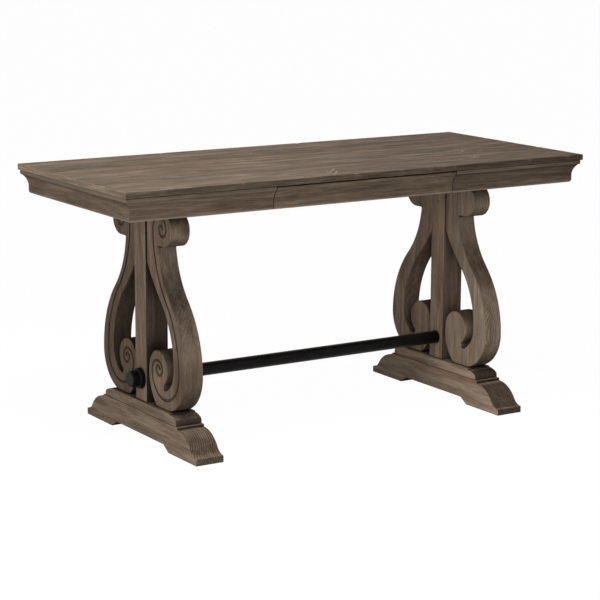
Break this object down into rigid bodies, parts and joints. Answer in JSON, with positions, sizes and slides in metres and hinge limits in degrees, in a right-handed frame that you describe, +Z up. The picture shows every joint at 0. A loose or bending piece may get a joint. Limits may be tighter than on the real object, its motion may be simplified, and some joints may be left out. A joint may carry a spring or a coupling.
{
  "type": "writing desk",
  "caption": "Trestle writing desk with a moulded apron, a hidden handle-free drawer, carved S-scroll legs on ogee feet and a round black stretcher.",
  "frame": {"origin": "on the floor under the middle of the desk", "axes": "+X along the desk's length to the right of a person who faces its front, -Y towards that person, +Z up"},
  "size_m": [1.524, 0.66, 0.762],
  "materials": {
    "weathered_wood": "weathered grey-brown, wire-brushed, low sheen",
    "inner_wood": "stained, unpolished",
    "drawer_wood": "plain, sealed",
    "slide_steel": "zinc plated",
    "fastener_steel": "zinc plated",
    "black_metal": "satin black",
    "glide_plastic": "matte",
    "insert_brass": "plain"
  },
  "bodies": {
    "desk": {"top_panel": "weathered_wood", "front_left_apron": "weathered_wood", "front_right_apron": "weathered_wood", "left_apron": "weathered_wood", "right_apron": "weathered_wood", "back_apron": "weathered_wood", "left_foot": "weathered_wood", "left_plinth": "weathered_wood", "left_post": "weathered_wood", "left_front_scroll": "weathered_wood", "left_rear_scroll": "weathered_wood", "left_cleat": "weathered_wood", "right_foot": "weathered_wood", "right_plinth": "weathered_wood", "right_post": "weathered_wood", "right_front_scroll": "weathered_wood", "right_rear_scroll": "weathered_wood", "right_cleat": "weathered_wood", "front_left_corner_block": "inner_wood", "front_right_corner_block": "inner_wood", "back_left_corner_block": "inner_wood", "back_right_corner_block": "inner_wood", "left_bearer": "inner_wood", "right_bearer": "inner_wood", "left_slide_outer": "slide_steel", "right_slide_outer": "slide_steel", "corner_block_screws": "fastener_steel", "slide_bearer_screws": "fastener_steel", "foot_screws": "fastener_steel", "cleat_bolts": "fastener_steel", "stretcher_tube": "black_metal", "left_stretcher_cap": "black_metal", "right_stretcher_cap": "black_metal", "left_stretcher_plug": "fastener_steel", "left_stretcher_stud": "fastener_steel", "right_stretcher_plug": "fastener_steel", "right_stretcher_stud": "fastener_steel", "trestle_dowels": "drawer_wood", "foot_glides": "glide_plastic", "top_inserts": "insert_brass"},
    "drawer": {"drawer_front": "weathered_wood", "drawer_box_front": "drawer_wood", "drawer_left_side": "drawer_wood", "drawer_right_side": "drawer_wood", "drawer_back": "drawer_wood", "drawer_bottom": "drawer_wood", "drawer_front_screws": "fastener_steel", "slide_drawer_screws": "fastener_steel", "left_slide_inner": "slide_steel", "right_slide_inner": "slide_steel"},
    "left_middle_carrier": {"left_slide_middle": "slide_steel"},
    "left_outer_cage_carrier": {"left_slide_outer_cage": "slide_steel"},
    "left_inner_cage_carrier": {"left_slide_inner_cage": "slide_steel"},
    "right_middle_carrier": {"right_slide_middle": "slide_steel"},
    "right_outer_cage_carrier": {"right_slide_outer_cage": "slide_steel"},
    "right_inner_cage_carrier": {"right_slide_inner_cage": "slide_steel"}
  },
  "joints": [
    {"name": "drawer_slide", "type": "slide", "parent": "desk", "child": "drawer", "axis": [0, -1, 0], "range_m": [0, 0.35]},
    {"name": "left_middle_slide", "type": "slide", "parent": "desk", "child": "left_middle_carrier", "axis": [0, -1, 0], "range_m": [0, 0.175]},
    {"name": "left_outer_cage_slide", "type": "slide", "parent": "desk", "child": "left_outer_cage_carrier", "axis": [0, -1, 0], "range_m": [0, 0.0875]},
    {"name": "left_inner_cage_slide", "type": "slide", "parent": "desk", "child": "left_inner_cage_carrier", "axis": [0, -1, 0], "range_m": [0, 0.2625]},
    {"name": "right_middle_slide", "type": "slide", "parent": "desk", "child": "right_middle_carrier", "axis": [0, -1, 0], "range_m": [0, 0.175]},
    {"name": "right_outer_cage_slide", "type": "slide", "parent": "desk", "child": "right_outer_cage_carrier", "axis": [0, -1, 0], "range_m": [0, 0.0875]},
    {"name": "right_inner_cage_slide", "type": "slide", "parent": "desk", "child": "right_inner_cage_carrier", "axis": [0, -1, 0], "range_m": [0, 0.2625]}
  ],
  "couplings": [
    {"joint": "left_middle_slide", "follows": "drawer_slide", "ratio": 0.5},
    {"joint": "left_outer_cage_slide", "follows": "drawer_slide", "ratio": 0.25},
    {"joint": "left_inner_cage_slide", "follows": "drawer_slide", "ratio": 0.75},
    {"joint": "right_middle_slide", "follows": "drawer_slide", "ratio": 0.5},
    {"joint": "right_outer_cage_slide", "follows": "drawer_slide", "ratio": 0.25},
    {"joint": "right_inner_cage_slide", "follows": "drawer_slide", "ratio": 0.75}
  ]
}
